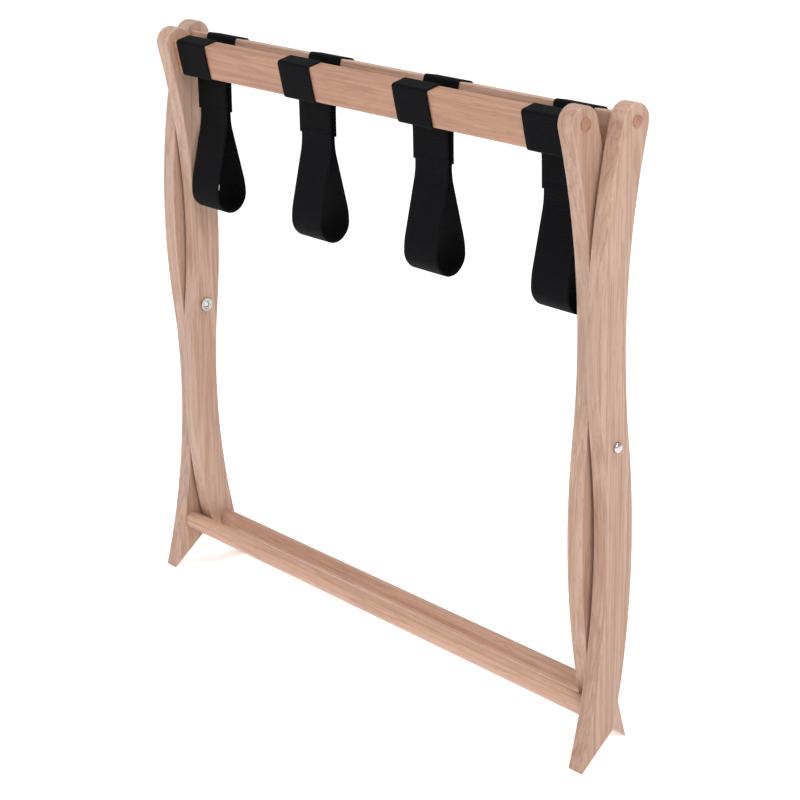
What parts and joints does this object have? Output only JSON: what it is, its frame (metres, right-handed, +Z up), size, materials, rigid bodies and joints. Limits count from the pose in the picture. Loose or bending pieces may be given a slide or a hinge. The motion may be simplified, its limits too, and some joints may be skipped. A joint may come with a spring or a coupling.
{
  "type": "folding luggage rack",
  "caption": "Folding luggage rack with wavy wooden legs crossing on side pivots, slim top rails, round lower stretchers and dark webbing straps that hang in loops when folded.",
  "frame": {"origin": "on the floor, midway between the two folded frames and midway along the rails", "axes": "+X along the rails to the right, +Y to the back (the outer frame's top is at the back), +Z up"},
  "size_m": [0.677, 0.0848, 0.6294],
  "materials": {
    "leg_wood": "satin lacquer over pale pinkish hardwood",
    "rail_wood": "satin lacquer over slightly redder hardwood",
    "plug_wood": "satin lacquer, end grain",
    "webbing": "ribbed woven nylon webbing",
    "plated_steel": "bright plated",
    "steel": "zinc plated"
  },
  "bodies": {
    "pivots": {"pivot_bolt_left": "plated_steel", "pivot_bolt_right": "plated_steel", "barrel_nut_left": "plated_steel", "barrel_nut_right": "plated_steel", "pivot_spacer_left": "steel", "pivot_spacer_right": "steel"},
    "outer_frame": {"outer_leg_left": "leg_wood", "outer_leg_right": "leg_wood", "back_rail": "rail_wood", "front_stretcher": "rail_wood", "outer_plug_left": "plug_wood", "outer_plug_right": "plug_wood", "outer_rail_screws": "steel", "outer_rail_pins": "plug_wood", "strap_1_back_sleeve": "webbing", "strap_2_back_sleeve": "webbing", "strap_3_back_sleeve": "webbing", "strap_4_back_sleeve": "webbing"},
    "inner_frame": {"inner_leg_left": "leg_wood", "inner_leg_right": "leg_wood", "front_rail": "rail_wood", "back_stretcher": "rail_wood", "inner_plug_left": "plug_wood", "inner_plug_right": "plug_wood", "inner_rail_screws": "steel", "inner_rail_pins": "plug_wood", "strap_1_front_sleeve": "webbing", "strap_2_front_sleeve": "webbing", "strap_3_front_sleeve": "webbing", "strap_4_front_sleeve": "webbing"},
    "front_seam": {"front_strap_seams": "webbing"},
    "front_fall": {"front_strap_falls": "webbing"},
    "front_bend": {"front_strap_bends": "webbing"},
    "front_turn": {"front_strap_turns": "webbing"},
    "front_middle": {"front_strap_middles": "webbing"},
    "back_seam": {"back_strap_seams": "webbing"},
    "back_fall": {"back_strap_falls": "webbing"},
    "back_bend": {"back_strap_bends": "webbing"},
    "back_turn": {"back_strap_turns": "webbing"},
    "back_middle": {"back_strap_middles": "webbing"}
  },
  "joints": [
    {"name": "outer_fold", "type": "hinge", "parent": "pivots", "child": "outer_frame", "pos_m": [0, 0, 0.315], "axis": [-1, 0, 0], "range_deg": [0, 37.2]},
    {"name": "inner_fold", "type": "hinge", "parent": "pivots", "child": "inner_frame", "pos_m": [0, 0, 0.315], "axis": [1, 0, 0], "range_deg": [0, 37.2]},
    {"name": "front_seam_hinge", "type": "hinge", "parent": "inner_frame", "child": "front_seam", "pos_m": [0, -0.00355, 0.58266], "axis": [1, 0, 0], "range_deg": [0, 50.78]},
    {"name": "front_fall_hinge", "type": "hinge", "parent": "front_seam", "child": "front_fall", "pos_m": [0, -0.0017, 0.53033], "axis": [1, 0, 0], "range_deg": [0, 15.42]},
    {"name": "front_bend_hinge", "type": "hinge", "parent": "front_fall", "child": "front_bend", "pos_m": [0, -0.01839, 0.46026], "axis": [-1, 0, 0], "range_deg": [0, 13.4], "deforming": ["front_strap_bends"]},
    {"name": "front_turn_hinge", "type": "hinge", "parent": "front_bend", "child": "front_turn", "pos_m": [0, -0.01839, 0.44313], "axis": [-1, 0, 0], "range_deg": [0, 45], "deforming": ["front_strap_turns"]},
    {"name": "front_middle_hinge", "type": "hinge", "parent": "front_turn", "child": "front_middle", "pos_m": [0, -0.00695, 0.43169], "axis": [-1, 0, 0], "range_deg": [0, 45], "deforming": ["front_strap_middles"]},
    {"name": "back_seam_hinge", "type": "hinge", "parent": "outer_frame", "child": "back_seam", "pos_m": [0, 0.00355, 0.58266], "axis": [-1, 0, 0], "range_deg": [0, 50.78]},
    {"name": "back_fall_hinge", "type": "hinge", "parent": "back_seam", "child": "back_fall", "pos_m": [0, 0.0017, 0.53033], "axis": [-1, 0, 0], "range_deg": [0, 15.42]},
    {"name": "back_bend_hinge", "type": "hinge", "parent": "back_fall", "child": "back_bend", "pos_m": [0, 0.01839, 0.46026], "axis": [1, 0, 0], "range_deg": [0, 13.4], "deforming": ["back_strap_bends"]},
    {"name": "back_turn_hinge", "type": "hinge", "parent": "back_bend", "child": "back_turn", "pos_m": [0, 0.01839, 0.44313], "axis": [1, 0, 0], "range_deg": [0, 45], "deforming": ["back_strap_turns"]},
    {"name": "back_middle_hinge", "type": "hinge", "parent": "back_turn", "child": "back_middle", "pos_m": [0, 0.00695, 0.43169], "axis": [1, 0, 0], "range_deg": [0, 45], "deforming": ["back_strap_middles"]}
  ],
  "couplings": [
    {"joint": "inner_fold", "follows": "outer_fold", "ratio": 1},
    {"joint": "front_seam_hinge", "follows": "outer_fold", "ratio": 1.365},
    {"joint": "front_fall_hinge", "follows": "outer_fold", "ratio": 0.41454},
    {"joint": "front_bend_hinge", "follows": "outer_fold", "ratio": 0.36022},
    {"joint": "front_turn_hinge", "follows": "outer_fold", "ratio": 1.2097},
    {"joint": "front_middle_hinge", "follows": "outer_fold", "ratio": 1.2097},
    {"joint": "back_seam_hinge", "follows": "outer_fold", "ratio": 1.365},
    {"joint": "back_fall_hinge", "follows": "outer_fold", "ratio": 0.41454},
    {"joint": "back_bend_hinge", "follows": "outer_fold", "ratio": 0.36022},
    {"joint": "back_turn_hinge", "follows": "outer_fold", "ratio": 1.2097},
    {"joint": "back_middle_hinge", "follows": "outer_fold", "ratio": 1.2097}
  ]
}
